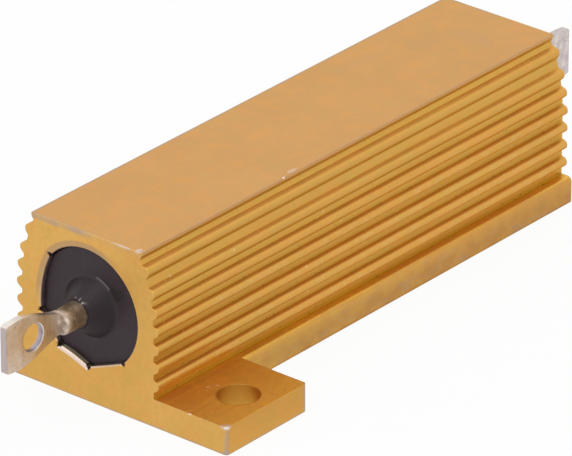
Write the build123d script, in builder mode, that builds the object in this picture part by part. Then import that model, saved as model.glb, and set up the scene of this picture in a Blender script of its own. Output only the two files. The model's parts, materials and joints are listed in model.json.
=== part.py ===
from build123d import *
from math import cos, floor, radians, sin, sqrt
import os

# Wirewound power resistor in a finned aluminium housing, in millimetres.
# +X runs along the bore, from the front end to the rear, and +Z up from the
# mounting face. The origin is on the mounting face, under the middle of the
# housing. What repeats at both ends is modelled at the rear and turned end
# for end for the front.

os.makedirs("parts", exist_ok=True)

# ---------------------------------------------------------------- sizes

# Housing: one extrusion, milled, drilled and bored.
body_length = 49.0
body_width = 13.8           # over the ribs, below the bore's axis
top_width = 10.7            # the flat top
axis_height = 7.73          # bore axis above the mounting face
bore_diameter = 9.7
top_wall = 1.42             # metal over the bore
top_lip_height = 0.25       # upright lip along the flat top
top_lip_step = 0.2          # it stands out this far from the wall under it
top_lip_flare = 0.38        # height of its sloping underside
top_edge_round = 0.12

rib_pitch = 1.49
first_rib_height = 3.45     # middle of the lowest rib
top_rib_lift = 0.2          # the highest rib stands this much higher
rib_depth = 0.5
rib_tip_width = 0.5
upper_flank = 0.17          # height of a rib's upper flank
lower_flank = 0.38
rib_tip_round = 0.36
groove_round = 0.1

# Base: flanges milled back to a ledge, but for two feet across a diagonal.
base_thickness = 2.3
ledge_step = 0.5            # ledge beyond the ribs
ledge_round = 0.42          # its upper edge
base_edge_round = 0.3       # its lower edge
foot_length = 9.2
foot_corner_round = 0.3
foot_hole_spacing = 21.4    # across the part
foot_hole_edge = 2.75       # hole's axis to the foot's outer face
foot_hole_diameter = 3.3

# Bore rims, staked over the moulding between punch marks.
rim_thickness = 0.45
rim_chamfer = 0.1
stake_depth = 0.34
stake_ends = [42.0, -19.0, -54.0, -90.0, -134.0]    # degrees, from +Y to +Z
punch_diameter = 0.36

# Resistive element.
core_diameter = 6.0
core_length = 38.0
cap_wall = 0.4
cap_floor = 0.5
cap_skirt = 4.0
wire_diameter = 0.36
wire_turns = 18

# Terminals: round wire, its outer end pressed flat into a lug.
shank_diameter = 2.15
shoulder_diameter = 1.9
shoulder_reach = 3.2        # end of the round part, beyond the housing
lug_reach = 9.0             # cut end of the lug, beyond the housing
lug_thickness = 0.55
lug_offset = 0.25           # middle of the lug, to +Y of the bore's axis
lug_root_width = 1.7
lug_width = 4.1
lug_end_width = 3.85
lug_widest = 1.6            # widest place to the cut end
lug_corner_round = 0.25
lug_hole_diameter = 2.15
lug_hole_inset = 3.0        # hole's axis to the cut end
lug_hole_chamfer = 0.08

# Silicone moulding that fills the bore round the element.
plug_edge_round = 0.15
hub_diameter = 5.0
hub_height = 1.65
hub_top_wall = 0.15
hub_round = 0.5

# Clearances between pieces.
moulding_clearance = 0.02   # in the bore, and round whatever it holds
cap_clearance = 0.01        # cap on core
wire_clearance = 0.05       # wire on core, and wire to caps

# ---------------------------------------------------------- worked out

bore_radius = bore_diameter / 2
body_height = axis_height + bore_radius + top_wall
half_length = body_length / 2
ledge_half_width = body_width / 2 + ledge_step
foot_half_width = foot_hole_spacing / 2 + foot_hole_edge
foot_hole_x = half_length - foot_length / 2

# The sides are upright up to the bore's axis, then curve in to the top.
lean = (body_width - top_width) / 2
rise = body_height - axis_height
side_radius = (rise * rise + lean * lean) / (2 * lean)

lip_bottom = body_height - top_lip_height
wall_top = lip_bottom - top_lip_flare
rib_room = wall_top - top_rib_lift - upper_flank - rib_tip_width / 2 - first_rib_height
rib_count = floor(rib_room / rib_pitch) + 1

core_radius = core_diameter / 2
cap_radius = core_radius + cap_clearance + cap_wall
cap_face = core_length / 2 + cap_floor
skirt_end = cap_face - cap_floor - cap_skirt
winding_radius = core_radius + wire_clearance + wire_diameter / 2
winding_length = 2 * (skirt_end - wire_clearance) - wire_diameter

plug_face = half_length - rim_thickness - moulding_clearance
hub_top = plug_face + hub_height
shoulder_x = half_length + shoulder_reach
lug_end = half_length + lug_reach
widest_x = lug_end - lug_widest


def side_reach(height):
    """Half the width over the ribs at a height."""
    above = max(height - axis_height, 0.0)
    return body_width / 2 - (side_radius - sqrt(side_radius * side_radius - above * above))


def on_rim(angle, radius):
    """A point of an end face, at an angle round the bore's axis."""
    return (radius * cos(radians(angle)), axis_height + radius * sin(radians(angle)))


def turned(piece):
    """The same piece at the front end: half a turn about the line across the bore."""
    return piece.rotate(Axis((0, 0, axis_height), (0, 1, 0)), 180)


# -------------------------------------------------------------- housing


def half_profile():
    """Right half of the extruded section, from the base up, as (across, height)."""
    points = [
        (0, 0),
        (foot_half_width, 0),
        (foot_half_width, base_thickness),
        (side_reach(base_thickness) - rib_depth, base_thickness),
    ]
    for rib in range(rib_count):
        middle = first_rib_height + rib * rib_pitch
        if rib == rib_count - 1:
            middle += top_rib_lift
        root_low = middle - rib_tip_width / 2 - lower_flank
        root_high = middle + rib_tip_width / 2 + upper_flank
        points += [
            (side_reach(root_low) - rib_depth, root_low),
            (side_reach(middle), middle - rib_tip_width / 2),
            (side_reach(middle), middle + rib_tip_width / 2),
            (side_reach(root_high) - rib_depth, root_high),
        ]
    points += [
        (top_width / 2 - top_lip_step, wall_top),
        (top_width / 2, lip_bottom),
        (top_width / 2, body_height),
        (0, body_height),
    ]
    return points


with BuildPart() as housing:
    # The section as it leaves the die, with both flanges whole.
    with BuildSketch(Plane.YZ) as section:
        with BuildLine():
            Polyline(half_profile(), close=True)
        make_face()
        corners = section.vertices().filter_by(lambda v: v.X > top_width / 4)
        top_corner = corners.filter_by(lambda v: v.Y > body_height - top_lip_height / 2)
        corners = corners.filter_by(lambda v: base_thickness < v.Y < lip_bottom - top_lip_flare / 2)
        tips = corners.filter_by(lambda v: v.X > side_reach(v.Y) - rib_depth / 2)
        roots = corners.filter_by(lambda v: v.X < side_reach(v.Y) - rib_depth / 2)
        fillet(tips, rib_tip_round)
        fillet(roots, groove_round)
        fillet(top_corner, top_edge_round)
        mirror(about=Plane.YZ)
    extrude(amount=half_length, both=True)

    # Flanges milled back to the ledge, leaving a foot at two opposite corners.
    milled_length = body_length - foot_length
    milled_width = foot_half_width - ledge_half_width
    with BuildSketch(Plane.XY) as milling:
        for side in (1, -1):
            with Locations((
                -side * foot_length / 2,
                side * (ledge_half_width + milled_width / 2),
            )):
                Rectangle(milled_length, milled_width)
    extrude(amount=base_thickness, mode=Mode.SUBTRACT)
    ledge_edges = (
        housing.edges()
        .filter_by(Axis.X)
        .filter_by(lambda e: abs(abs(e.center().Y) - ledge_half_width) < ledge_step / 4)
    )
    fillet(ledge_edges.filter_by(lambda e: e.center().Z < base_thickness / 2), base_edge_round)
    fillet(ledge_edges.filter_by(lambda e: e.center().Z > base_thickness / 2), ledge_round)
    foot_corners = (
        housing.edges()
        .filter_by(Axis.Z)
        .filter_by(lambda e: abs(e.center().Y) > foot_half_width - foot_corner_round)
    )
    fillet(foot_corners, foot_corner_round)

    with Locations(
        (-foot_hole_x, -foot_hole_spacing / 2, base_thickness),
        (foot_hole_x, foot_hole_spacing / 2, base_thickness),
    ):
        Hole(foot_hole_diameter / 2, depth=base_thickness)

    # Bore, stopped short of the end faces by the rims.
    with BuildSketch(Plane.YZ) as bore:
        with Locations((0, axis_height)):
            Circle(bore_radius)
    extrude(amount=half_length - rim_thickness, both=True, mode=Mode.SUBTRACT)

    # Rim: the bore's own circle, but pressed inward from punch mark to punch mark.
    for end in (1, -1):
        marks = [angle if end < 0 else 180 - angle for angle in stake_ends]
        with BuildSketch(Plane.YZ.offset(end * half_length)) as mouth:
            with BuildLine():
                for start, stop in zip(marks, marks[1:]):
                    ThreePointArc(
                        on_rim(start, bore_radius),
                        on_rim((start + stop) / 2, bore_radius - stake_depth),
                        on_rim(stop, bore_radius),
                    )
                around = (marks[0] + marks[-1]) / 2 + 180
                ThreePointArc(
                    on_rim(marks[-1], bore_radius),
                    on_rim(around, bore_radius),
                    on_rim(marks[0], bore_radius),
                )
            make_face()
            with Locations([on_rim(angle, bore_radius) for angle in marks]):
                Circle(punch_diameter / 2)
        extrude(amount=-end * rim_thickness, mode=Mode.SUBTRACT)
    mouth_edges = (
        housing.edges()
        .filter_by(lambda e: abs(abs(e.center().X) - half_length) < rim_thickness / 4)
        .filter_by(lambda e: Vertex(e.center()).distance_to(Vertex(e.center().X, 0, axis_height))
                   < bore_radius + top_wall / 2)
    )
    chamfer(mouth_edges, rim_chamfer)

housing.part.label = "housing"
export_step(housing.part, "parts/housing.step")

# -------------------------------------------------- element in the bore

with BuildPart() as core:
    with Locations((0, 0, axis_height)):
        Cylinder(core_radius, core_length, rotation=(0, 90, 0))

core.part.label = "ceramic_core"
export_step(core.part, "parts/ceramic_core.step")

with BuildPart() as winding:
    turn_pitch = winding_length / wire_turns
    with BuildLine(Plane.XY) as wire_path:
        Helix(turn_pitch, winding_length, winding_radius)
    with BuildSketch(Plane(origin=wire_path.line @ 0, z_dir=wire_path.line % 0)):
        Circle(wire_diameter / 2)
    sweep(path=wire_path.line, is_frenet=True)

winding_on_core = (
    winding.part.moved(Location((0, 0, -winding_length / 2)))
    .rotate(Axis.Y, 90)
    .moved(Location((0, 0, axis_height)))
)
winding_on_core.label = "winding"
export_step(winding_on_core, "parts/winding.step")

with BuildPart() as end_cap:
    with BuildSketch(Plane.XZ):
        with BuildLine():
            Polyline(
                (core_length / 2, axis_height),
                (cap_face, axis_height),
                (cap_face, axis_height + cap_radius),
                (skirt_end, axis_height + cap_radius),
                (skirt_end, axis_height + cap_radius - cap_wall),
                (core_length / 2, axis_height + cap_radius - cap_wall),
                close=True,
            )
        make_face()
    revolve(axis=Axis((0, 0, axis_height), (1, 0, 0)))

for name, piece in [("end_cap_rear", end_cap.part), ("end_cap_front", turned(end_cap.part))]:
    piece.label = name
    export_step(piece, f"parts/{name}.step")

# ------------------------------------------------------------ terminals

with BuildPart() as terminal:
    # Round shank from the cap's face, tapering outside the moulding.
    with BuildSketch(Plane.XZ):
        with BuildLine():
            Polyline(
                (cap_face, axis_height),
                (shoulder_x, axis_height),
                (shoulder_x, axis_height + shoulder_diameter / 2),
                (hub_top, axis_height + shank_diameter / 2),
                (cap_face, axis_height + shank_diameter / 2),
                close=True,
            )
        make_face()
    revolve(axis=Axis((0, 0, axis_height), (1, 0, 0)))
    shoulder_rim = terminal.edges().filter_by(GeomType.CIRCLE).sort_by(Axis.X)[-1]
    fillet(shoulder_rim, shoulder_diameter / 8)

    # Flat lug: flared from the shoulder, cut square at the end.
    with BuildSketch(Plane.XZ.offset(-lug_offset + lug_thickness / 2)):
        with BuildLine() as half_lug:
            root = (shoulder_x - lug_thickness, axis_height + lug_root_width / 2)
            widest = (widest_x, axis_height + lug_width / 2)
            tip = (lug_end, axis_height + lug_end_width / 2)
            Spline(root, widest, tangents=[(1, 0), (1, 0)], tangent_scalars=(0.8, 0.8))
            TangentArc(widest, tip, tangent=(1, 0))
            Line(tip, (lug_end, axis_height))
            Line((lug_end, axis_height), (root[0], axis_height))
            Line((root[0], axis_height), root)
        lug_face = make_face()
        fillet(lug_face.vertices().sort_by_distance(tip)[0], lug_corner_round)
        mirror(about=Plane.XZ.offset(-axis_height))
    extrude(amount=-lug_thickness)

    with BuildSketch(Plane.XZ.offset(-lug_offset + lug_thickness / 2)):
        with Locations((lug_end - lug_hole_inset, axis_height)):
            Circle(lug_hole_diameter / 2)
    extrude(amount=-lug_thickness, mode=Mode.SUBTRACT)
    chamfer(
        terminal.edges()
        .filter_by(GeomType.CIRCLE)
        .filter_by(lambda e: abs(e.radius - lug_hole_diameter / 2) < lug_hole_chamfer / 4),
        lug_hole_chamfer,
    )

for name, piece in [("terminal_rear", terminal.part), ("terminal_front", turned(terminal.part))]:
    piece.label = name
    export_step(piece, f"parts/{name}.step")

# ------------------------------------------------------------- moulding

with BuildPart() as moulding:
    with BuildSketch(Plane.XZ) as half_plug:
        with BuildLine():
            # Outside: along the bore, across the plug's face, up the hub.
            Polyline(
                (0, axis_height + shank_diameter / 2 + moulding_clearance),
                (0, axis_height + bore_radius - moulding_clearance),
                (plug_face, axis_height + bore_radius - moulding_clearance),
                (plug_face, axis_height + hub_diameter / 2),
                (hub_top, axis_height + shank_diameter / 2 + hub_top_wall),
                (hub_top, axis_height + shank_diameter / 2 + moulding_clearance),
                close=True,
            )
        make_face()
        hub_foot = (plug_face, axis_height + hub_diameter / 2)
        fillet(half_plug.vertices().sort_by_distance(hub_foot)[0], hub_round)
        plug_edge = (plug_face, axis_height + bore_radius)
        fillet(half_plug.vertices().sort_by_distance(plug_edge)[0], plug_edge_round)
    revolve(axis=Axis((0, 0, axis_height), (1, 0, 0)))
    mirror(about=Plane.YZ)
    # Cavity round the caps and, between them, round the winding.
    with Locations((0, 0, axis_height)):
        Cylinder(
            winding_radius + wire_diameter / 2 + moulding_clearance,
            2 * skirt_end,
            rotation=(0, 90, 0),
            mode=Mode.SUBTRACT,
        )
    for end in (1, -1):
        with Locations((end * (skirt_end + cap_face) / 2, 0, axis_height)):
            Cylinder(
                cap_radius + moulding_clearance,
                cap_face - skirt_end + 2 * moulding_clearance,
                rotation=(0, 90, 0),
                mode=Mode.SUBTRACT,
            )

moulding.part.label = "moulding"
export_step(moulding.part, "parts/moulding.step")
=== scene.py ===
# %% [markdown]
# # A wirewound power resistor in a gold anodised housing
#
# The part is a ribbed block of aluminium with a black moulding in its bore and
# a flat solder lug at each end. Its shapes come ready made from the CAD model,
# so this lesson is about finish: satin anodising, bare metal where the
# anodising has worn off, silicone, tinned copper and a soft white studio.
#
# We begin with the tools.

# %% Load the CAD model
import json
import math

import bmesh
import bpy
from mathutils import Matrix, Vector


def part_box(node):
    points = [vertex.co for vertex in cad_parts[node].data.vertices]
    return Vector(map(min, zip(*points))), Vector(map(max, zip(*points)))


bpy.ops.wm.read_factory_settings(use_empty=True)
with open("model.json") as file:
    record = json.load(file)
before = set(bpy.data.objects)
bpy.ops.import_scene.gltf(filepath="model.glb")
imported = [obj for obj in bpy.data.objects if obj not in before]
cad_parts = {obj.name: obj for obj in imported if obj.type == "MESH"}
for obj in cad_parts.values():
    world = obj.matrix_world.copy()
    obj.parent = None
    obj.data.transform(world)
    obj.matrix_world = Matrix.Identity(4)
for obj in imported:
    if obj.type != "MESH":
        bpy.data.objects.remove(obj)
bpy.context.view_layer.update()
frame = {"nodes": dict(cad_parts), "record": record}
nodes = frame["nodes"]
print("CAD pieces:", sorted(nodes))

# %% [markdown]
# ## Measure the part
#
# Every mark, lamp and wear spot has to land on a real edge or face, so we
# measure those first. A box gives the ends of a piece. Heights inside a
# piece, such as the top of a foot, come from its own vertices: the highest
# one that lies out beyond the ribs. Blender works in metres, and most of
# these details are tenths of a millimetre, so we name the millimetre.

# %% Measure the housing
MM = 0.001
housing_low, housing_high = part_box("housing")
end_x, top_z = housing_high.x, housing_high.z
housing_points = [v.co for v in nodes["housing"].data.vertices]
foot_top = max(p.z for p in housing_points if p.y < housing_low.y * 0.9)
top_edge = max(p.y for p in housing_points if p.z > top_z - 0.1 * MM)
ledge_edge = -min(p.y for p in housing_points if p.x > 0 and p.z < foot_top)
body_edge = -min(p.y for p in housing_points if p.x > 0 and p.z > foot_top + 0.5 * MM)
foot_back = max(p.x for p in housing_points if p.y < -ledge_edge - 1 * MM)
print(f"foot {foot_top / MM:.2f} mm thick, its back at {foot_back / MM:.2f} mm")

# %% [markdown]
# The moulding fills the bore, so its box gives the bore's height and radius.
# The foot of its low hub lies at about half that radius. The lug's hole is a
# mount in the CAD record, which states its place and radius outright.

# %% Measure the bore and the lug
plug_low, plug_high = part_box("moulding")
bore_height = (plug_low.z + plug_high.z) / 2
bore_radius = (plug_high.z - plug_low.z) / 2
hub_radius = 0.52 * bore_radius
lug_low, lug_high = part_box("terminal_front")
lug_reach = -lug_low.x
lug_points = [v.co for v in nodes["terminal_front"].data.vertices]
terminal_radius = max(p.z for p in lug_points if p.x > housing_low.x) - bore_height
hole = next(m for m in frame["record"]["mounts"] if m["name"] == "lug_hole_rear")
hole_reach, hole_radius = hole["pos_m"][0], hole["dims"]["r_mm"] * MM
print(f"bore {bore_radius * 2 / MM:.2f} mm across, {bore_height / MM:.2f} mm up")

# %% [markdown]
# A screw hole shows in the top of a foot as a ring of vertices away from the
# foot's own edges. The middle of the ring is the hole's axis. The two feet
# are half a turn apart, so one pair of positive distances serves both.

# %% Measure the screw holes
rim_points = [p for p in housing_points if abs(p.z - foot_top) < 0.01 * MM
              and housing_low.y + 0.5 * MM < p.y < -ledge_edge - 0.5 * MM
              and housing_low.x + 0.5 * MM < p.x < foot_back - 0.5 * MM]
rim_x, rim_y = [p.x for p in rim_points], [p.y for p in rim_points]
screw_x, screw_y = -(min(rim_x) + max(rim_x)) / 2, -(min(rim_y) + max(rim_y)) / 2
screw_radius = (max(rim_x) - min(rim_x)) / 2
print(f"screw hole {screw_radius * 2 / MM:.2f} mm across"
      f" at {screw_x / MM:.2f}, {screw_y / MM:.2f} mm")

# %% [markdown]
# ## The camera
#
# The part is seen from far off through a long lens, so its parallel edges
# stay nearly parallel. We give the camera a turn, a tilt, a distance and a
# point to look at, and let a track quaternion turn it there: that is easier to
# adjust than three raw angles.

# %% Place the camera
turn, tilt, distance = math.radians(-50.32), math.radians(26.63), 0.5654
aim = Vector((-0.0038, -0.0019, 0.0070))
back = Vector((
    math.cos(tilt) * math.sin(turn),
    -math.cos(tilt) * math.cos(turn),
    math.sin(tilt),
))
camera = bpy.data.objects.new("camera", bpy.data.cameras.new("camera"))
camera.data.sensor_width = 36
camera.data.lens = 470.7
camera.location = aim + back * distance
camera.rotation_euler = (-back).to_track_quat("-Z", "Y").to_euler()
bpy.context.scene.collection.objects.link(camera)
bpy.context.scene.camera = camera
print("camera at", [round(v, 4) for v in camera.location])

# %% [markdown]
# ## Helpers for node trees
#
# A finish is a tree of nodes. Made by hand in the editor it is dragging and
# typing; in a script it is the same three moves each time: add a node, set
# its options, and give each input a number or another node's output. These
# short helpers keep the finishes below readable. A colour is written as red,
# green and blue, and `fill` adds the fourth number that its socket wants.

# %% Add nodes and fill them in


def fill(tree, target, inputs):
    """Set inputs of a node: another node's output is linked, a value written in."""
    for name, value in inputs.items():
        socket = target.inputs[name]
        if isinstance(value, bpy.types.NodeSocket):
            tree.links.new(value, socket)
        elif socket.type == "RGBA":
            socket.default_value = (*value, 1)
        else:
            socket.default_value = value


def node(tree, kind, inputs=None, **options):
    """Add a node, set its options and fill its inputs."""
    made = tree.nodes.new("ShaderNode" + kind)
    for option, value in options.items():
        setattr(made, option, value)
    fill(tree, made, inputs or {})
    return made


def place(tree):
    """Where each point lies on the part, in metres."""
    return node(tree, "TexCoord").outputs["Object"]


def parts(tree, vector):
    """The X, Y and Z of a vector."""
    return node(tree, "SeparateXYZ", {0: vector}).outputs


def noise(tree, where, scale, detail, roughness=0.5):
    """Cloudy noise, mostly from 0.3 to 0.7. A larger scale makes smaller clouds."""
    return node(tree, "TexNoise", {
        "Vector": where, "Scale": scale, "Detail": detail, "Roughness": roughness,
    }).outputs["Fac"]


print("node helpers ready")

# %% [markdown]
# A mask is a number at each point: 1 where an effect shows, 0 where it
# doesn't. Masks multiplied keep what lies in all of them, and the highest of
# them keeps what lies in any.

# %% Reckon with masks


def calc(tree, operation, first, second=0.0):
    """The result of one Math node."""
    return node(tree, "Math", {0: first, 1: second}, operation=operation).outputs[0]


def chain(tree, operation, values):
    """One Math operation over several values, from left to right."""
    result = values[0]
    for value in values[1:]:
        result = calc(tree, operation, result, value)
    return result


def times(tree, *values):
    """The values multiplied together."""
    return chain(tree, "MULTIPLY", values)


def plus(tree, *values):
    """The values added up."""
    return chain(tree, "ADD", values)


def highest(tree, *values):
    """The highest of the values."""
    return chain(tree, "MAXIMUM", values)


def inverse(tree, mask):
    """1 where a mask is 0, and 0 where it is 1."""
    return calc(tree, "SUBTRACT", 1.0, mask)


print("mask helpers ready")

# %% [markdown]
# A mask is made from a measure, such as a height, a noise or the distance
# from an axis, by fading it in or out between two values. Smooth steps keep
# the borders of a stain from looking cut.

# %% Make masks from measures


def fade(tree, value, low, high, to_low=0.0, to_high=1.0):
    """Value eased from low..high to to_low..to_high, and held beyond them."""
    return node(tree, "MapRange", {
        "Value": value, "From Min": low, "From Max": high,
        "To Min": to_low, "To Max": to_high,
    }, interpolation_type="SMOOTHSTEP").outputs[0]


def between(tree, value, low, high, soft):
    """1 from low to high, easing to 0 over a width of soft outside them."""
    return calc(tree, "MINIMUM", fade(tree, value, low - soft, low),
                fade(tree, value, high + soft, high))


def reach(tree, one, other):
    """How far a point is from an axis that it misses by one and other."""
    gap = node(tree, "CombineXYZ", {0: one, 1: other}).outputs[0]
    return node(tree, "VectorMath", {0: gap}, operation="LENGTH").outputs["Value"]


print("measure helpers ready")

# %% [markdown]
# Colour is built up as a painter does it: a ground, and then coat after coat,
# each held to its own mask. Every coat has a name, which becomes the label of
# its node, so it is easy to find again in the editor.

# %% Lay colours and make materials


def blend(tree, amount, under, over, label=""):
    """Two colours mixed by amount, from 0 (under) to 1 (over)."""
    return node(tree, "Mix", {0: amount, 6: under, 7: over},
                data_type="RGBA", label=label).outputs[2]


def layers(tree, ground, coats):
    """Coats laid over a ground, each with a name, a mask and a colour."""
    for name, (mask, colour) in coats.items():
        ground = blend(tree, mask, ground, colour, name)
    return ground


def roughen(tree, shader, relief, depth, strength=0.5, soft=None):
    """Bumps from a pattern, depth metres deep. soft rounds sharp edges off."""
    inputs = {"Strength": strength, "Distance": depth, "Height": relief}
    if soft:
        inputs["Normal"] = node(tree, "Bevel", {"Radius": soft}, samples=6).outputs[0]
    fill(tree, shader, {"Normal": node(tree, "Bump", inputs).outputs[0]})


def empty_tree(owner):
    """The node tree of a material or a world, with nothing in it yet."""
    owner.use_nodes = True
    owner.node_tree.nodes.clear()
    return owner.node_tree


def new_material(name):
    """A new material, with its tree and its Principled shader."""
    material = bpy.data.materials.new(name)
    tree = empty_tree(material)
    shader = node(tree, "BsdfPrincipled")
    node(tree, "OutputMaterial", {"Surface": shader.outputs[0]})
    return material, tree, shader


print("colour helpers ready")

# %% [markdown]
# ## Effects that several finishes share
#
# Grain, worn edges, grime in corners and local marks are wanted on more than
# one finish. Each could be copied into every material, but then a change has
# to be made several times. A node group is built once and placed with its own
# values in each material, and it hands back only masks and values.

# %% Make and place groups


def new_group(name, inputs, outputs):
    """A node group: the tree, what it is given, and the node for its results."""
    group = bpy.data.node_groups.new(name, "ShaderNodeTree")
    for label, value in inputs.items():
        kind = "Vector" if isinstance(value, tuple) else "Float"
        socket = group.interface.new_socket(
            label, in_out="INPUT", socket_type="NodeSocket" + kind)
        socket.default_value = value
    for label in outputs:
        group.interface.new_socket(label, in_out="OUTPUT", socket_type="NodeSocketFloat")
    given = group.nodes.new("NodeGroupInput").outputs
    return group, given, group.nodes.new("NodeGroupOutput")


def use(tree, group, **inputs):
    """Place a node group in a tree and return what it puts out."""
    return node(tree, "Group", inputs, node_tree=group).outputs


print("group helpers ready")

# %% [markdown]
# The first group is grain: noise stretched along the part, as a die leaves on
# an extrusion. The stretch comes from multiplying a point's place by a small
# number along the part and a large one across it.

# %% Grain group
grain, given, results = new_group(
    "grain", {"Along": 60.0, "Across": 3000.0, "Detail": 3.0}, ["Value"])
scales = node(grain, "CombineXYZ", {0: given["Along"], 1: given["Across"], 2: given["Across"]})
stretched = node(grain, "VectorMath", {0: place(grain), 1: scales.outputs[0]},
                 operation="MULTIPLY")
fill(grain, results, {"Value": noise(grain, stretched.outputs[0], 1.0, given["Detail"])})
print("group:", grain.name)

# %% [markdown]
# Worn edges come next. Handling rubs a finish off outer edges first. Ambient
# occlusion looked at from *inside* the metal is dark exactly there, because
# its short rays leave through the face next door. Multiplying by noise breaks
# the line up, so that it doesn't look drawn on.

# %% Worn edges group
worn_edges, given, results = new_group(
    "worn_edges", {"Reach": 0.2 * MM, "Breakup": 900.0, "From": 0.3, "To": 0.6}, ["Worn"])
inside = node(worn_edges, "AmbientOcclusion", {"Distance": given["Reach"]},
              inside=True, only_local=True, samples=12)
patches = noise(worn_edges, place(worn_edges), given["Breakup"], 4.0, 0.6)
broken = times(worn_edges, inverse(worn_edges, inside.outputs["AO"]),
               fade(worn_edges, patches, 0.35, 0.7))
worn = node(worn_edges, "MapRange", {
    "Value": broken, "From Min": given["From"], "From Max": given["To"]})
fill(worn_edges, results, {"Worn": worn.outputs[0]})
print("group:", worn_edges.name)

# %% [markdown]
# The opposite of a worn edge is an inner corner, where shade gathers.
# Plain ambient occlusion, kept to the piece itself, finds it.

# %% Inner corners group
inner_corners, given, results = new_group("inner_corners", {"Reach": 0.6 * MM}, ["Depth"])
outside = node(inner_corners, "AmbientOcclusion", {"Distance": given["Reach"]},
               only_local=True, samples=8)
fill(inner_corners, results, {"Depth": inverse(inner_corners, outside.outputs["AO"])})
print("group:", inner_corners.name)

# %% [markdown]
# Next is a local mark: a ding, a scuff or a smudge at one place. It is an
# ellipsoid about a centre, with its rim pushed in and out by noise. The
# centre and the three radii are inputs, so one group makes every mark on the
# part.

# %% Local mark group
mark, given, results = new_group(
    "local_mark",
    {"Centre": (0, 0, 0), "Radii": (MM, MM, MM), "Ragged": 0.8, "Scale": 1500.0}, ["Mask"])
where = place(mark)
away = node(mark, "VectorMath", {0: where, 1: given["Centre"]}, operation="SUBTRACT")
away = node(mark, "VectorMath", {0: away.outputs[0], 1: given["Radii"]}, operation="DIVIDE")
length = node(mark, "VectorMath", {0: away.outputs[0]}, operation="LENGTH")
ripple = calc(mark, "SUBTRACT", noise(mark, where, given["Scale"], 4.0, 0.65), 0.5)
ragged = plus(mark, length.outputs["Value"], times(mark, ripple, given["Ragged"]))
fill(mark, results, {"Mask": fade(mark, ragged, 1.1, 0.7)})
print("group:", mark.name)


def mm(*lengths):
    """Lengths in millimetres, as metres."""
    return tuple(length * MM for length in lengths)


def touch(tree, under, centre, radii, colour, amount, ragged=0.8, scale=1500.0):
    """Lay one local mark of a colour over what is there already."""
    spot = use(tree, mark, Centre=centre, Radii=radii, Ragged=ragged, Scale=scale)
    return blend(tree, times(tree, spot["Mask"], amount), under, colour)


def touch_all(tree, under, marks):
    """Lay a table of marks, each with a centre, three radii, a colour and an amount."""
    for centre, radii, colour, amount in marks.values():
        under = touch(tree, under, centre, radii, colour, amount)
    return under


# %% [markdown]
# Dust, crumbs and pinholes are too sharp for noise. Voronoi cells give one
# dot per cell; comparing the cell's random colour with a share keeps only
# some of them, so that they don't form a grid.

# %% Specks group
specks, given, results = new_group(
    "specks", {"Scale": 2500.0, "Size": 0.2, "Share": 0.2}, ["Mask"])
cells = node(specks, "TexVoronoi", {"Vector": place(specks), "Scale": given["Scale"]})
dot = fade(specks, cells.outputs["Distance"], given["Size"], times(specks, given["Size"], 0.5))
chance = node(specks, "SeparateColor", {0: cells.outputs["Color"]}).outputs[0]
kept = calc(specks, "LESS_THAN", chance, given["Share"])
fill(specks, results, {"Mask": times(specks, dot, kept)})
print("group:", specks.name)

# %% [markdown]
# The bore's mouth, the plug and the terminal are all round about one axis, so
# their marks are easiest to place by *how far from the axis* and *at which
# angle*. Both ends of the part are the same, turned end for end. Flipping the
# side with the sign of X gives both ends the same angles.

# %% Round the bore group
round_bore, given, results = new_group("round_bore", {"Height": 0.0}, ["Radius", "Angle"])
x, y, z = parts(round_bore, place(round_bore))
side = times(round_bore, y, times(round_bore, calc(round_bore, "SIGN", x), -1.0))
rise = calc(round_bore, "SUBTRACT", z, given["Height"])
fill(round_bore, results, {
    "Radius": reach(round_bore, side, rise),
    "Angle": times(round_bore, calc(round_bore, "ARCTAN2", rise, side), 180 / math.pi)})
print("group:", round_bore.name)

# %% [markdown]
# ## Gold anodised aluminium
#
# Anodising grows a clear, hard layer on etched aluminium, and the layer is
# dyed. Seen close, there are three parts: satin metal tinted by the dye, a
# thin clear skin over it that turns white towards a glancing view, and bare
# metal where the skin has chipped off.
#
# A plain yellow paint would miss the deep orange in the grooves. There, light
# has met the dyed metal two or three times. A *metallic* base colour gives
# that for free, because every bounce is tinted again.
#
# We start with the measures that the masks are cut from: how far along,
# across and up a point is, which way it faces, and a few sizes of noise.

# %% Measures and noises on the housing
anodised, tree, shader = new_material("anodised_aluminium")
where = place(tree)
x, y, height = parts(tree, where)
along, across = calc(tree, "ABSOLUTE", x), calc(tree, "ABSOLUTE", y)
facing_up = parts(tree, node(tree, "NewGeometry").outputs["Normal"])["Z"]
on_top = fade(tree, height, top_z - 0.30 * MM, top_z - 0.15 * MM)
on_end = fade(tree, along, end_x - 0.12 * MM, end_x - 0.04 * MM)
not_top, not_end = inverse(tree, on_top), inverse(tree, on_end)

cloud = noise(tree, where, 160.0, 3.0, 0.6)
mottle = noise(tree, where, 650.0, 4.0, 0.6)
fine = noise(tree, where, 1800.0, 4.0, 0.7)
die_lines = use(tree, grain, Along=70.0, Across=2600.0, Detail=3.0)["Value"]
streaks = use(tree, grain, Along=22.0, Across=900.0, Detail=2.0)["Value"]
print("housing ends at", round(end_x / MM, 2), "mm, its top at", round(top_z / MM, 2), "mm")
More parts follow.
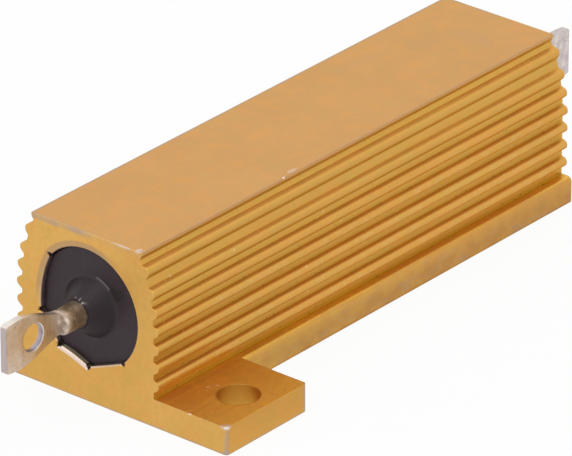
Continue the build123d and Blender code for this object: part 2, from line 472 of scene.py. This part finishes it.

# %% [markdown]
# The dye takes differently on each face, because the die, the saw and the
# cutter leave different surfaces. The sides keep the die's long lines. The
# flats between the ribs get a yellower, more olive tint, which is painted
# shade for the grooves, and the tips of the ribs get a pale broken line,
# which is a painted highlight.

# %% Dyed sides
patchy = fade(tree, cloud, 0.3, 0.7)
lines = times(tree, not_top, fade(tree, die_lines, 0.45, 0.75, 0.0, 0.30))
# Painted shade: a more olive tint on the flats between the ribs.
groove_flat_shade = times(tree, fade(tree, across, body_edge - 0.12 * MM, body_edge - 0.6 * MM),
                  fade(tree, height, foot_top - 0.1 * MM, foot_top + 0.1 * MM))
# Painted highlight along the rib tips, broken up by noise.
rib_tips = times(tree, fade(tree, across, body_edge - 0.22 * MM, body_edge - 0.04 * MM),
                 fade(tree, fine, 0.48, 0.62, 0.0, 0.45),
                 fade(tree, height, foot_top, foot_top + 0.2 * MM))
sides = blend(tree, patchy, (0.665, 0.330, 0.038), (0.72, 0.374, 0.050))
sides = layers(tree, sides, {
    "die lines": (lines, (0.56, 0.30, 0.030)),
    "pale streaks": (fade(tree, streaks, 0.52, 0.70, 0.0, 0.55), (0.70, 0.43, 0.065)),
    "warm streaks": (fade(tree, streaks, 0.46, 0.30, 0.0, 0.45), (0.74, 0.345, 0.040)),
    "painted shade on groove flats": (times(tree, groove_flat_shade, 0.8), (0.64, 0.365, 0.055)),
    "painted highlight on rib tips": (rib_tips, (0.78, 0.49, 0.16)),
})
print("sides dyed, ribs reach", round(body_edge / MM, 2), "mm")

# %% [markdown]
# The flat top is painted a little pinker and duller: a painted sheen that
# stands in for the clear skin mirroring the white room. The sawn ends are
# lighter higher up, and the milled tops of the feet are a deeper, blotchy
# gold. Once the faces are put together, two sizes of mottle run over all of
# them.

# %% Dyed top, ends and feet
# The top's pinker colour is a painted sheen.
top = blend(tree, patchy, (0.588, 0.312, 0.104), (0.628, 0.338, 0.108))
# The ends are painted lighter higher up.
lighter_higher_up = fade(tree, height, top_z * 0.3, top_z * 0.8, 0.0, 0.6)
ends = blend(tree, patchy, (0.635, 0.364, 0.058), (0.730, 0.424, 0.089))
ends = blend(tree, lighter_higher_up, ends, (0.79, 0.470, 0.110))
milled = times(tree, fade(tree, facing_up, 0.7, 0.9),
               between(tree, height, foot_top - 0.1 * MM, foot_top + 0.1 * MM, 0.1 * MM))
feet = blend(tree, fade(tree, cloud, 0.40, 0.62), (0.84, 0.50, 0.044), (0.72, 0.385, 0.034))
gold = layers(tree, sides, {
    "flat top": (on_top, top),
    "milled feet": (milled, feet),
    "sawn ends": (on_end, ends),
    "red mottle": (fade(tree, mottle, 0.42, 0.68, 0.0, 0.38), (0.74, 0.34, 0.06)),
    "olive mottle": (fade(tree, mottle, 0.50, 0.32, 0.0, 0.30), (0.60, 0.37, 0.07)),
    "fine brown mottle": (fade(tree, fine, 0.40, 0.70, 0.0, 0.34), (0.64, 0.32, 0.05)),
})
print("faces joined")

# %% [markdown]
# The grooves get painted shade: a more olive tint that grows with their
# depth, which comes from the inner corners group. The depth also says where
# the dark crumbs lie thickest, so they are specks and, in the corners,
# painted shade as well. A few pale specks, where the skin is pitted, are
# scattered over the rest.

# %% Grooves and specks
groove = use(tree, inner_corners, Reach=0.6 * MM)["Depth"]
dark_specks = use(tree, specks, Scale=2600.0, Size=0.34, Share=0.22)["Mask"]
pale_specks = use(tree, specks, Scale=1500.0, Size=0.18, Share=0.06)["Mask"]
# Dark specks, thickest in the deep corners, where they add painted shade.
crumbs = times(tree, dark_specks, fade(tree, groove, 0.15, 0.45, 0.08, 0.75))
gold = layers(tree, gold, {
    "painted shade in grooves": (fade(tree, groove, 0.15, 0.65, 0.0, 0.85), (0.58, 0.40, 0.052)),
    "dark crumbs": (crumbs, (0.22, 0.14, 0.03)),
    "pale pits": (times(tree, pale_specks, not_top, 0.6), (0.85, 0.66, 0.36)),
})
print("dyed metal ready")

# %% [markdown]
# The moulding is held in by staking: a punch has pushed the rim of the bore
# inward between five marks. Pressing cracks the dyed skin, so the lips are
# nearly bare, brightest on the low chord. The wall behind them is painted dark
# as shade, lighter on the low chord as a painted reflection; each punch notch
# is painted black as its shadow; and a brown band of painted shade stands in
# for the dent round the upper mouth. We paint all of it by distance and angle
# round the bore, so it stays on the rim whatever the size.
#
# Each lip bows inward most half way between its two punch marks, so a
# parabola in the angle follows it.

# %% Lips of the staked rim
punches = {42: 1.0, -19: 0.8, -54: 1.0, -90: 1.0, -134: 0.6}
lip_bow = 0.34 * MM
ring = use(tree, round_bore, Height=bore_height)
radius, angle = ring["Radius"], ring["Angle"]

bows = []
for start, stop in zip(list(punches), list(punches)[1:]):
    middle, half = (start + stop) / 2, (start - stop) / 2
    off = calc(tree, "DIVIDE", calc(tree, "SUBTRACT", angle, middle), half)
    bows.append(times(tree, inverse(tree, times(tree, off, off)), lip_bow))
pressed = highest(tree, *bows, 0.0)
from_rim = calc(tree, "SUBTRACT", plus(tree, radius, pressed), bore_radius)
print("lips:", len(bows), "punch marks:", len(punches))

# %% [markdown]
# The low chord lies between the marks at -54 and -90 degrees, and the chord
# over the foot between those at -90 and -134. A nick is the painted shadow in
# a punch notch: a small black spike, widest at the rim and gone a little way
# outside it. The number beside its angle in `punches` says how black it is.

# %% Bare, dark and nicked places of the rim
near_end = fade(tree, along, end_x - 0.7 * MM, end_x - 0.6 * MM)
low_chord = between(tree, angle, -89.0, -55.0, 2.0)
foot_chord = between(tree, angle, -133.0, -91.0, 3.0)
thin = times(tree, fade(tree, from_rim, 0.17 * MM, 0.10 * MM),
             plus(tree, 0.32, times(tree, foot_chord, 0.4)))
wide = times(tree, low_chord, fade(tree, from_rim, 0.46 * MM, 0.34 * MM))
lip_bare = times(tree, on_end, highest(tree, thin, wide))
# Painted shade on the bore wall just inside the mouth.
wall = times(tree, near_end, not_end,
             fade(tree, radius, bore_radius + 0.3 * MM, bore_radius + 0.2 * MM))
# Painted shade for the dent the punch pressed round the upper mouth.
dent_shade = times(tree, on_end, between(tree, angle, 10.0, 105.0, 25.0),
              between(tree, from_rim, 0.12 * MM, 0.42 * MM, 0.2 * MM))

# Each punch notch is painted black: a painted shadow.
nicks = []
for punch, blackness in punches.items():
    aside = times(tree, calc(tree, "ABSOLUTE", calc(tree, "SUBTRACT", angle, float(punch))),
                  bore_radius * math.pi / 180)
    outward = times(tree, calc(tree, "SUBTRACT", radius, bore_radius), 0.55)
    nicks.append(fade(tree, plus(tree, aside, outward), 0.24 * MM, 0.17 * MM, 0.0, blackness))
nick = times(tree, highest(tree, *nicks), near_end)

# The wall's painted shade, lighter on the low chord as a painted reflection.
wall_shade_colour = blend(tree, low_chord, (0.13, 0.095, 0.10), (0.31, 0.27, 0.19))
gold = layers(tree, gold, {
    "painted dent shade": (times(tree, dent_shade, 0.7), (0.44, 0.27, 0.13)),
    "bare lips": (lip_bare, (0.84, 0.68, 0.60)),
    "painted wall shade": (wall, wall_shade_colour),
    "painted notch shadows": (times(tree, nick, 0.95), (0.020, 0.013, 0.011)),
})
print("staked rim ready")

# %% [markdown]
# Now the wear. Outer edges of the feet, the ledge and the flat top lose their
# skin in broken lines; the ribs are too rounded to. The top has a thin grey
# border besides, stronger on one side, and the underside's edge is grey where
# it has slid over a bench.

# %% Worn edges of the housing
worn = use(tree, worn_edges, Reach=0.26 * MM, Breakup=1400.0, From=0.26, To=0.5)["Worn"]
near_top = fade(tree, height, top_z - 0.5 * MM, top_z - 0.3 * MM)
near_base = fade(tree, height, foot_top + 0.4 * MM, foot_top + 0.2 * MM)
bare_edge = times(tree, worn, highest(tree, near_base, near_top), 0.55)
top_border = times(
    tree,
    highest(tree, fade(tree, across, top_edge - 0.26 * MM, top_edge - 0.12 * MM),
            fade(tree, along, end_x - 0.26 * MM, end_x - 0.12 * MM)),
    near_top,
    fade(tree, mottle, 0.35, 0.6, 0.25, 0.65),
    fade(tree, y, -1 * MM, 1 * MM, 0.2, 1.0))
slid = times(tree, fade(tree, height, 0.18 * MM, 0.08 * MM),
             fade(tree, mottle, 0.35, 0.6, 0.15, 0.6))
colour = layers(tree, gold, {
    "bare edges": (bare_edge, (0.50, 0.40, 0.32)),
    "grey top border": (top_border, (0.40, 0.31, 0.26)),
    "slid lower edge": (slid, (0.40, 0.32, 0.27)),
})
print("edges worn")

# %% [markdown]
# A few places have been knocked or nicked. Each is a local mark, set out from
# a measured corner or edge: its centre, its three radii, its colour and how
# strong it is. The first table holds the near foot.

# %% Dings on the foot
front, flank = housing_low.x, housing_low.y
pale, grey = (0.72, 0.58, 0.52), (0.42, 0.34, 0.31)
cream, bright = (0.95, 0.68, 0.30), (0.95, 0.88, 0.78)
foot_corner = (front + 0.1 * MM, flank + 0.1 * MM, foot_top)
foot_dings = {
    "corner": (foot_corner, mm(0.5, 0.6, 0.3), pale, 0.8),
    "corner, heart": (foot_corner, mm(0.2, 0.2, 0.2), bright, 0.9),
    "edge": ((front, flank, foot_top / 2), mm(0.30, 0.30, 1.3), (0.46, 0.33, 0.24), 0.6),
    "corner, low": ((front, flank, 0.1 * MM), mm(0.4, 0.4, 0.3), grey, 0.8),
    "edge, far": ((foot_back, flank, foot_top / 2), mm(0.45, 0.45, 1.4), grey, 0.75),
    "nick": ((front, flank * 0.738, foot_top), mm(0.1, 0.16, 0.1), bright, 0.8),
}
colour = touch_all(tree, colour, foot_dings)
print("foot dings:", "; ".join(foot_dings))

# %% [markdown]
# The second table holds the flat top and one rib.

# %% Dings on the top and the ribs
top_dings = {
    "corner": ((front + 0.2 * MM, -top_edge + 0.4 * MM, top_z), mm(0.4, 0.3, 0.2), pale, 0.7),
    "corner, heart": ((front + 0.3 * MM, -top_edge + 0.2 * MM, top_z), mm(0.12, 0.15, 0.1),
                      grey, 0.8),
    "rib nick": ((front + 34.7 * MM, -body_edge, 10.95 * MM), mm(0.3, 0.3, 0.12), bright, 0.5),
    "rim": ((front, -top_edge * 0.64, top_z), mm(0.15, 0.9, 0.12), pale, 0.7),
    "burr": ((front + 16.3 * MM, -top_edge, top_z), mm(0.14, 0.12, 0.12), bright, 0.9),
    "scrape": ((front + 17.6 * MM, -top_edge + 0.3 * MM, top_z), mm(0.6, 0.2, 0.1), pale, 0.5),
}
colour = touch_all(tree, colour, top_dings)
print("top dings:", "; ".join(top_dings))

# %% [markdown]
# The last table holds flat stains: specks and a smudge by the screw hole, and
# faint cloudy smudges towards the far end of the top.

# %% Specks and smudges
stains = {
    "hole smudge": ((front + 4.2 * MM, flank * 0.62, foot_top), mm(0.7, 0.5, 0.1),
                    (0.80, 0.47, 0.14), 0.45),
    "hole speck": ((front + 4.1 * MM, flank * 0.61, foot_top), mm(0.22, 0.16, 0.2), cream, 1.0),
    "second hole speck": ((front + 4.7 * MM, flank * 0.64, foot_top), mm(0.15, 0.18, 0.2),
                          cream, 1.0),
    "third hole speck": ((front + 3.6 * MM, flank * 0.63, foot_top), mm(0.12, 0.12, 0.2),
                         cream, 0.8),
    "top smudge": ((end_x - 7.5 * MM, 1.5 * MM, top_z), mm(2.2, 1.2, 0.1),
                   (0.53, 0.30, 0.13), 0.25),
    "second top smudge": ((end_x - 4.5 * MM, -1.0 * MM, top_z), mm(1.2, 2.0, 0.1),
                          (0.53, 0.31, 0.15), 0.25),
    "third top smudge": ((end_x - 14 * MM, 3.0 * MM, top_z), mm(3.0, 0.8, 0.1),
                         (0.54, 0.31, 0.14), 0.20),
}
colour = touch_all(tree, colour, stains)
print("stains:", "; ".join(stains))

# %% [markdown]
# The wall of a drilled hole is painted a light orange: painted light that
# lifts the shade inside it. A thin dark line runs round its edge.

# %% Foot holes
from_screw = reach(tree, calc(tree, "SUBTRACT", along, screw_x),
                   calc(tree, "SUBTRACT", across, screw_y))
in_hole = fade(tree, from_screw, screw_radius + 0.08 * MM, screw_radius + 0.02 * MM)
hole_line = between(
    tree, from_screw, screw_radius - 0.02 * MM, screw_radius + 0.06 * MM, 0.06 * MM)
# The hole's wall is painted light against its shade.
colour = layers(tree, colour, {
    "hole wall painted light": (times(tree, in_hole, 0.85), (0.84, 0.46, 0.085)),
    "dark hole line": (times(tree, hole_line, 0.35), (0.30, 0.13, 0.020)),
})
print("foot holes darkened")

# %% [markdown]
# The long ledge is the edge that slides along a bench, so it is scraped for
# its whole length, with fine brown-grey scratches. It is also darker and
# redder, more so lower down and further from the foot. The mask is the strip
# of height and width that holds the ledge; noise stretched along the part
# makes the scratches.

# %% Scraped ledge
ledge = times(
    tree, between(tree, across, ledge_edge - 0.3 * MM, ledge_edge + 0.1 * MM, 0.08 * MM),
    fade(tree, height, foot_top - 0.02 * MM, foot_top - 0.1 * MM), not_end)
from_foot = times(tree, calc(tree, "SIGN", y), times(tree, x, -1.0))
# Darker and redder, more so lower down and further from the foot.
darker_ledge_and_highlight_arc = times(
    tree, fade(tree, from_foot, foot_back, foot_back + 12 * MM, 0.45, 0.9),
    fade(tree, height, foot_top * 0.9, foot_top * 0.4, 0.45, 1.1),
    fade(tree, mottle, 0.38, 0.62, 0.7, 1.1))
scratches = use(tree, grain, Along=420.0, Across=1500.0, Detail=5.0)["Value"]
scratched = times(
    tree, ledge, fade(tree, height, foot_top * 0.75, foot_top * 0.25, 0.45, 1.0),
    fade(tree, scratches, 0.48, 0.70), fade(tree, cloud, 0.42, 0.62, 0.25, 0.5))
colour = layers(tree, colour, {
    "darker ledge": (times(tree, ledge, darker_ledge_and_highlight_arc), (0.49, 0.232, 0.030)),
    "scratches": (scratched, (0.37, 0.25, 0.18)),
})
print("ledge scraped")

# %% [markdown]
# Last comes the gloss. Roughness follows the die lines and the wear, and
# faces that look down are rougher. The clear skin is the shader's coat; it is
# thin in the grooves, and missing from the screw holes, the nicks painted black
# as shadow, the wall painted as shade and faces that look down.
#
# At a glancing angle a metallic colour fades to its *specular tint*. Left
# white, the tint draws a pale line under every rib, where the floor is
# mirrored. Dyed aluminium stays gold there, so we set the tint to a gold.

# %% Gloss, skin and relief of the housing
satin = 0.42
rough = plus(
    tree, satin, times(tree, lines, 0.25), fade(tree, cloud, 0.3, 0.7, -0.03, 0.04),
    times(tree, bare_edge, -0.08), fade(tree, facing_up, 0.15, -0.3, 0.0, 0.25))
skin = times(
    tree, fade(tree, groove, 0.08, 0.4, 0.8, 0.15), fade(tree, facing_up, -0.25, -0.05),
    inverse(tree, highest(tree, in_hole, nick, wall)))
fill(tree, shader, {
    "Base Color": colour,
    "Roughness": rough,
    "Metallic": inverse(tree, times(tree, wall, 0.9)),
    "Specular Tint": (0.92, 0.70, 0.42),
    "Coat Weight": skin,
    "Coat Roughness": 0.5,
    "Coat IOR": 1.5,
})
relief = plus(tree, times(tree, die_lines, not_top, 0.6), times(tree, fine, 0.5))
roughen(tree, shader, relief, 0.03 * MM, soft=0.07 * MM)
print("material:", anodised.name)

# %% [markdown]
# ## Black silicone
#
# The moulding is soft, slightly dusty rubber. It is not pure black: a cold
# sheen from the room lies over a warm black body. The base is nearly black
# with a wide soft gloss, and fine flow lines run outward from the terminal.

# %% Black silicone
silicone, tree, shader = new_material("black_silicone")
where = place(tree)
cloud = noise(tree, where, 500.0, 4.0)
fine = noise(tree, where, 4500.0, 3.0)
ring = use(tree, round_bore, Height=bore_height)
radius, angle = ring["Radius"], ring["Angle"]
spokes = node(tree, "CombineXYZ", {0: times(tree, angle, 0.16), 1: times(tree, radius, 350.0)})
flow = noise(tree, spokes.outputs[0], 1.0, 3.0)
body = blend(tree, fade(tree, cloud, 0.3, 0.7), (0.022, 0.009, 0.014), (0.030, 0.015, 0.021))
body = layers(tree, body, {
    "flow lines": (fade(tree, flow, 0.50, 0.75, 0.0, 0.3), (0.042, 0.036, 0.039)),
})
print("rubber body ready")

# %% [markdown]
# The rubber has marks and painted light. The hub is darker all round, and its
# dark side, with a dark spot beside it, is painted shade; a grey-green smear
# lies on the other side. One pale arc at the hub's foot is a painted
# highlight. Crumbs of flash lie round the terminal, with a little dust.

# %% Marks, painted shade and a painted highlight on the rubber
on_hub = fade(tree, radius, hub_radius + 0.1 * MM, hub_radius - 0.2 * MM)
# The hub is darker all round; its dark side is painted shade.
dark_hub_and_shade = highest(tree, times(tree, on_hub, 0.6), times(
    tree, on_hub, inverse(tree, between(tree, angle, -30.0, 110.0, 50.0))))
smear = times(
    tree, between(tree, angle, 10.0, 75.0, 20.0),
    between(tree, radius, hub_radius * 0.62, hub_radius * 0.95, 0.3 * MM),
    fade(tree, cloud, 0.42, 0.62))
# A pale arc at the hub's foot: a painted highlight.
darker_ledge_and_highlight_arc = times(
    tree, between(tree, angle, 104.0, 131.0, 4.0),
    between(tree, radius, hub_radius + 0.10 * MM, hub_radius + 0.16 * MM, 0.08 * MM))
body = layers(tree, body, {
    "dark hub and painted shade": (times(tree, dark_hub_and_shade, 0.8), (0.012, 0.004, 0.008)),
    "grey-green smear": (times(tree, smear, 0.3), (0.032, 0.034, 0.031)),
    "painted highlight arc": (times(tree, darker_ledge_and_highlight_arc, 0.55), (0.20, 0.18, 0.18)),
})
# A dark spot beside the hub, more painted shade.
hub_shade_spot = (housing_low.x + 0.5 * MM, -2.5 * MM, bore_height + 1.7 * MM)
body = touch(tree, body, hub_shade_spot, mm(1, 0.8, 0.7), (0.008, 0.005, 0.005),
             amount=0.6, ragged=1.6, scale=900.0)
flash = times(
    tree, fade(tree, radius, terminal_radius + 0.4 * MM, terminal_radius + 0.1 * MM),
    between(tree, angle, 85.0, 130.0, 10.0), fade(tree, fine, 0.5, 0.58))
body = layers(tree, body, {
    "crumbs of flash": (times(tree, flash, 0.65), (0.55, 0.52, 0.48)),
    "dust": (fade(tree, fine, 0.68, 0.8, 0.0, 0.3), (0.10, 0.09, 0.09)),
})
print("hub", round(hub_radius * 2 / MM, 2), "mm across at its foot")

# %% [markdown]
# Rubber is dull all over, and a little shinier where it has been smeared. Its
# bumps are very fine, with the flow lines just felt among them.

# %% Gloss and relief of the rubber
rough = calc(tree, "SUBTRACT", fade(tree, cloud, 0.3, 0.7, 0.42, 0.56), times(tree, smear, 0.12))
fill(tree, shader, {"Base Color": body, "Roughness": rough, "Specular IOR Level": 0.36})
roughen(tree, shader, plus(tree, fine, times(tree, flow, 0.6)), 0.03 * MM, strength=0.4)
print("material:", silicone.name)

# %% [markdown]
# ## Tinned terminals
#
# Tin is a pale, soft metal that dulls and picks up flux, at one end more than
# at the other. The lug shows warm grey patches, small bright scratches and
# bright edges where the cutter sheared it, and the round neck near the
# moulding is browned.

# %% Tinned terminals
tinned, tree, shader = new_material("tinned_terminal")
where = place(tree)
x, _, height = parts(tree, where)
along = calc(tree, "ABSOLUTE", x)
cloud = noise(tree, where, 450.0, 4.0, 0.6)
blotch = noise(tree, where, 1300.0, 3.0, 0.6)
fine = noise(tree, where, 3000.0, 3.0, 0.6)
pits = use(tree, specks, Scale=2400.0, Size=0.25, Share=0.18)["Mask"]
duller_end = times(tree, fade(tree, x, 0.0, 10 * MM, 0.0, 0.75),
                   fade(tree, blotch, 0.32, 0.62))
tin = blend(tree, fade(tree, cloud, 0.3, 0.7), (0.66, 0.59, 0.52), (0.80, 0.74, 0.67))
tin = layers(tree, tin, {
    "brown blotches": (fade(tree, blotch, 0.48, 0.70, 0.0, 0.35), (0.56, 0.47, 0.40)),
    "pits": (times(tree, pits, 0.5), (0.36, 0.28, 0.22)),
    "bright grains": (fade(tree, fine, 0.55, 0.75, 0.0, 0.3), (0.86, 0.80, 0.76)),
    "duller end": (duller_end, (0.50, 0.43, 0.46)),
})
print("tin ready")

# %% [markdown]
# Two places at the tip differ from the plate. The sheared end and the wall of
# the hole are duller and cooler grey, and the punched rim is bright: burrs, and
# a painted highlight where its rolled edge meets the light. Distance from the
# end and from the hole's axis picks them out.

# %% Sheared end and punched hole
sheared = fade(tree, calc(tree, "SUBTRACT", lug_reach, along), 0.08 * MM, 0.03 * MM)
from_hole = reach(tree, calc(tree, "SUBTRACT", along, hole_reach),
                  calc(tree, "SUBTRACT", height, bore_height))
hole_wall = fade(tree, from_hole, hole_radius + 0.05 * MM, hole_radius + 0.01 * MM)
purple = blend(tree, fade(tree, blotch, 0.35, 0.65), (0.24, 0.20, 0.23), (0.42, 0.36, 0.40))
# Burrs and a painted highlight on the punched rim of the hole.
rim_burrs_and_highlight = times(
    tree,
    between(tree, from_hole, hole_radius + 0.04 * MM, hole_radius + 0.12 * MM, 0.03 * MM),
    fade(tree, blotch, 0.50, 0.60))
tin = layers(tree, tin, {
    "sheared end": (times(tree, sheared, 0.9), (0.48, 0.405, 0.40)),
    "hole wall": (times(tree, hole_wall, 0.95), purple),
    "punched rim burrs and highlight": (times(tree, rim_burrs_and_highlight, 0.8), (0.95, 0.93, 0.92)),
})
print("lug hole", round(hole_radius * 2 / MM, 2), "mm across")

# %% [markdown]
# The round wire between housing and plate is browned by the heat of moulding,
# and its darker brown is partly painted shade.
# Where it was flattened, the shoulder is blotched pale and brown, and the root
# of the plate behind it is still a little brown.

# %% Browned wire, shoulder and root
wire_end, shoulder_start, shoulder_end, root_end = mm(3.1, 3.0, 3.3, 5.6)
past_housing = calc(tree, "SUBTRACT", along, end_x)
wire_part = fade(tree, past_housing, wire_end, wire_end - 0.5 * MM)
root = times(tree, fade(tree, past_housing, root_end, shoulder_start), inverse(tree, wire_part))
# The wire's brown: partly oxide, partly painted shade.
brown = blend(tree, fade(tree, blotch, 0.35, 0.65), (0.30, 0.22, 0.135), (0.62, 0.51, 0.39))
crumbs = times(tree, wire_part, fade(tree, fine, 0.64, 0.70, 0.0, 0.7))
shoulder = between(tree, past_housing, shoulder_start, shoulder_end, 0.1 * MM)
blotched = blend(tree, fade(tree, blotch, 0.40, 0.60), (0.47, 0.37, 0.30), (0.80, 0.68, 0.58))
tin = layers(tree, tin, {
    "brown root": (times(tree, root, 0.40), (0.50, 0.39, 0.29)),
    "browned wire and painted shade": (times(tree, wire_part, 0.9), brown),
    "pale crumbs": (crumbs, (0.80, 0.76, 0.68)),
    "blotched shoulder": (times(tree, shoulder, 0.9), blotched),
})
print("wire browned up to", round(wire_end / MM, 1), "mm from the housing")

# %% [markdown]
# The cutter leaves bright edges, and one corner of the plate carries a
# painted highlight.
# The flattened shoulder is rougher than the plate, so it shines less. A small
# bevel in the shading softens edges that the mesh leaves knife sharp.

# %% Edges, gloss and relief of the lugs
worn = use(tree, worn_edges, Reach=0.12 * MM, Breakup=2200.0, From=0.3, To=0.6)["Worn"]
shine = times(tree, worn, calc(tree, "SUBTRACT", 0.5, times(tree, shoulder, 0.4)))
tin = blend(tree, shine, tin, (0.92, 0.89, 0.87))
# A painted highlight on the upper corner at the tip of the plate.
lug_corner_highlight = (-lug_reach, lug_high.y - 0.1 * MM, lug_high.z - 0.2 * MM)
tin = touch(tree, tin, lug_corner_highlight, mm(0.5, 0.5, 0.3), (0.98, 0.96, 0.95),
            amount=0.8, ragged=1.6, scale=3000.0)
rough = plus(tree, fade(tree, cloud, 0.3, 0.7, 0.30, 0.45), times(tree, shoulder, 0.25))
fill(tree, shader, {"Base Color": tin, "Roughness": rough, "Metallic": 1.0})
roughen(tree, shader, plus(tree, fine, times(tree, blotch, 1.5)), 0.04 * MM, soft=0.06 * MM)
print("material:", tinned.name)

# %% [markdown]
# ## The hidden element
#
# Inside the moulding sit a ceramic rod, its winding and two pressed caps.
# Nothing of them shows from outside, but a part that is cut open in a later
# picture has to be right there too, so each gets its own finish.

# %% Ceramic
ceramic, tree, shader = new_material("ceramic")
where = place(tree)
fine = noise(tree, where, 2500.0, 5.0)
cloud = noise(tree, where, 300.0, 3.0)
body = blend(tree, cloud, (0.80, 0.76, 0.68), (0.88, 0.86, 0.80))
body = layers(tree, body, {
    "grey pores": (fade(tree, fine, 0.62, 0.8, 0.0, 0.5), (0.58, 0.53, 0.45)),
})
fill(tree, shader, {"Base Color": body, "Roughness": fade(tree, fine, 0.3, 0.7, 0.7, 0.85)})
roughen(tree, shader, fine, 0.04 * MM)
print("material:", ceramic.name)

# %% [markdown]
# Resistance wire is drawn through a die, and the caps are pressed from rolled
# steel. Both show grain, short on the wire and long on the caps, so the grain
# group serves both with numbers of its own.

# %% Wire and caps
wire, tree, shader = new_material("resistance_wire")
drawn = use(tree, grain, Along=900.0, Across=3000.0, Detail=3.0)["Value"]
fill(tree, shader, {
    "Base Color": blend(tree, drawn, (0.42, 0.39, 0.36), (0.62, 0.60, 0.57)),
    "Roughness": fade(tree, drawn, 0.3, 0.7, 0.25, 0.4),
    "Metallic": 1.0,
})

cap_steel, tree, shader = new_material("cap_steel")
rolled = use(tree, grain, Along=60.0, Across=4000.0, Detail=4.0)["Value"]
worn = use(tree, worn_edges, Reach=0.12 * MM)["Worn"]
steel = blend(tree, rolled, (0.50, 0.50, 0.50), (0.70, 0.70, 0.69))
fill(tree, shader, {
    "Base Color": layers(tree, steel, {"worn edges": (worn, (0.82, 0.82, 0.80))}),
    "Roughness": fade(tree, rolled, 0.3, 0.7, 0.22, 0.34),
    "Metallic": 1.0,
})
print("materials:", wire.name, cap_steel.name)

# %% [markdown]
# ## Put the finishes on the pieces
#
# The CAD pieces keep their own shapes. Only the material in their slots
# changes, so the sizes stay exactly as they were designed.

# %% Put the finishes on the pieces
finishes = {
    "housing": anodised,
    "moulding": silicone,
    "ceramic_core": ceramic,
    "winding": wire,
    "end_cap_front": cap_steel,
    "end_cap_rear": cap_steel,
    "terminal_front": tinned,
    "terminal_rear": tinned,
}
for name, material in finishes.items():
    for slot in nodes[name].material_slots:
        slot.material = material
    print(name, "->", material.name)

# %% [markdown]
# ## Floor, backdrop and light
#
# The studio is white all round. Two things make that work with metal. The
# room has to look white in reflections as well as to the camera, or gold
# turns brown; and the floor has to keep a little of the part's shadow, or the
# part floats. The floor itself is one large flat grid.

# %% Floor
floor_mesh = bmesh.new()
bmesh.ops.create_grid(floor_mesh, x_segments=1, y_segments=1, size=3.0)
floor_data = bpy.data.meshes.new("floor")
floor_mesh.to_mesh(floor_data)
floor_mesh.free()
floor = bpy.data.objects.new("floor", floor_data)
bpy.context.scene.collection.objects.link(floor)
print("floor:", [round(v, 1) for v in floor.dimensions[:2]], "m")

# %% [markdown]
# The floor mixes plain white paint with a white glow that only the camera and
# reflections see. Light Path tells those rays from the rest, so the glow
# shows in the metal without adding light to matt surfaces.

# %% White paint that glows to the camera


def seen_directly(tree):
    """1 for camera, glossy and transmission rays, otherwise 0."""
    rays = node(tree, "LightPath").outputs
    return highest(
        tree, rays["Is Camera Ray"], rays["Is Glossy Ray"], rays["Is Transmission Ray"])


glow_share = 0.93
floor_material = bpy.data.materials.new("white_floor")
tree = empty_tree(floor_material)
paint = node(tree, "BsdfDiffuse", {"Color": (0.92, 0.92, 0.92)})
glow = node(tree, "Emission", {"Color": (1, 1, 1), "Strength": 1.0})
mixed = node(tree, "MixShader", {
    0: times(tree, seen_directly(tree), glow_share),
    1: paint.outputs[0], 2: glow.outputs[0]})
node(tree, "OutputMaterial", {"Surface": mixed.outputs[0]})
floor_data.materials.append(floor_material)
print("material:", floor_material.name)

# %% [markdown]
# The world lights the part from all sides. Like the floor, it is pure white to
# the camera and in reflections. Matt surfaces get less light from it, so the
# black rubber stays black.

# %% World
world = bpy.data.worlds.new("white_room")
bpy.context.scene.world = world
tree = empty_tree(world)
light = node(tree, "Background", {"Color": (1, 1, 1), "Strength": 0.62})
white = node(tree, "Background", {"Color": (1, 1, 1), "Strength": 1.0})
mixed = node(tree, "MixShader", {
    0: seen_directly(tree), 1: light.outputs[0], 2: white.outputs[0]})
node(tree, "OutputWorld", {"Surface": mixed.outputs[0]})
print("world:", world.name)

# %% [markdown]
# Two large lamps give the light a direction. Their size matters more than
# their strength: a lamp as large as the room's window makes soft shadows and
# long, quiet highlights on satin metal.

# %% Lamps


def softbox(name, location, size, power):
    """A square lamp at a location, facing the middle of the part."""
    data = bpy.data.lights.new(name, "AREA")
    data.shape = "SQUARE"
    data.size = size
    data.energy = power
    lamp = bpy.data.objects.new(name, data)
    lamp.location = location
    lamp.rotation_euler = (aim - lamp.location).to_track_quat("-Z", "Y").to_euler()
    bpy.context.scene.collection.objects.link(lamp)


softbox("softbox_above", (-0.1, -0.1, 0.9), 0.8, 2.6)
softbox("softbox_left", (-0.9, 0.1, 0.5), 0.6, 1.4)

# %% [markdown]
# Blender's usual view transform mutes strong colours. The standard one shows
# each colour about as it was written.

# %% Colours as they are
bpy.context.scene.view_settings.view_transform = "Standard"
print("view transform:", bpy.context.scene.view_settings.view_transform)
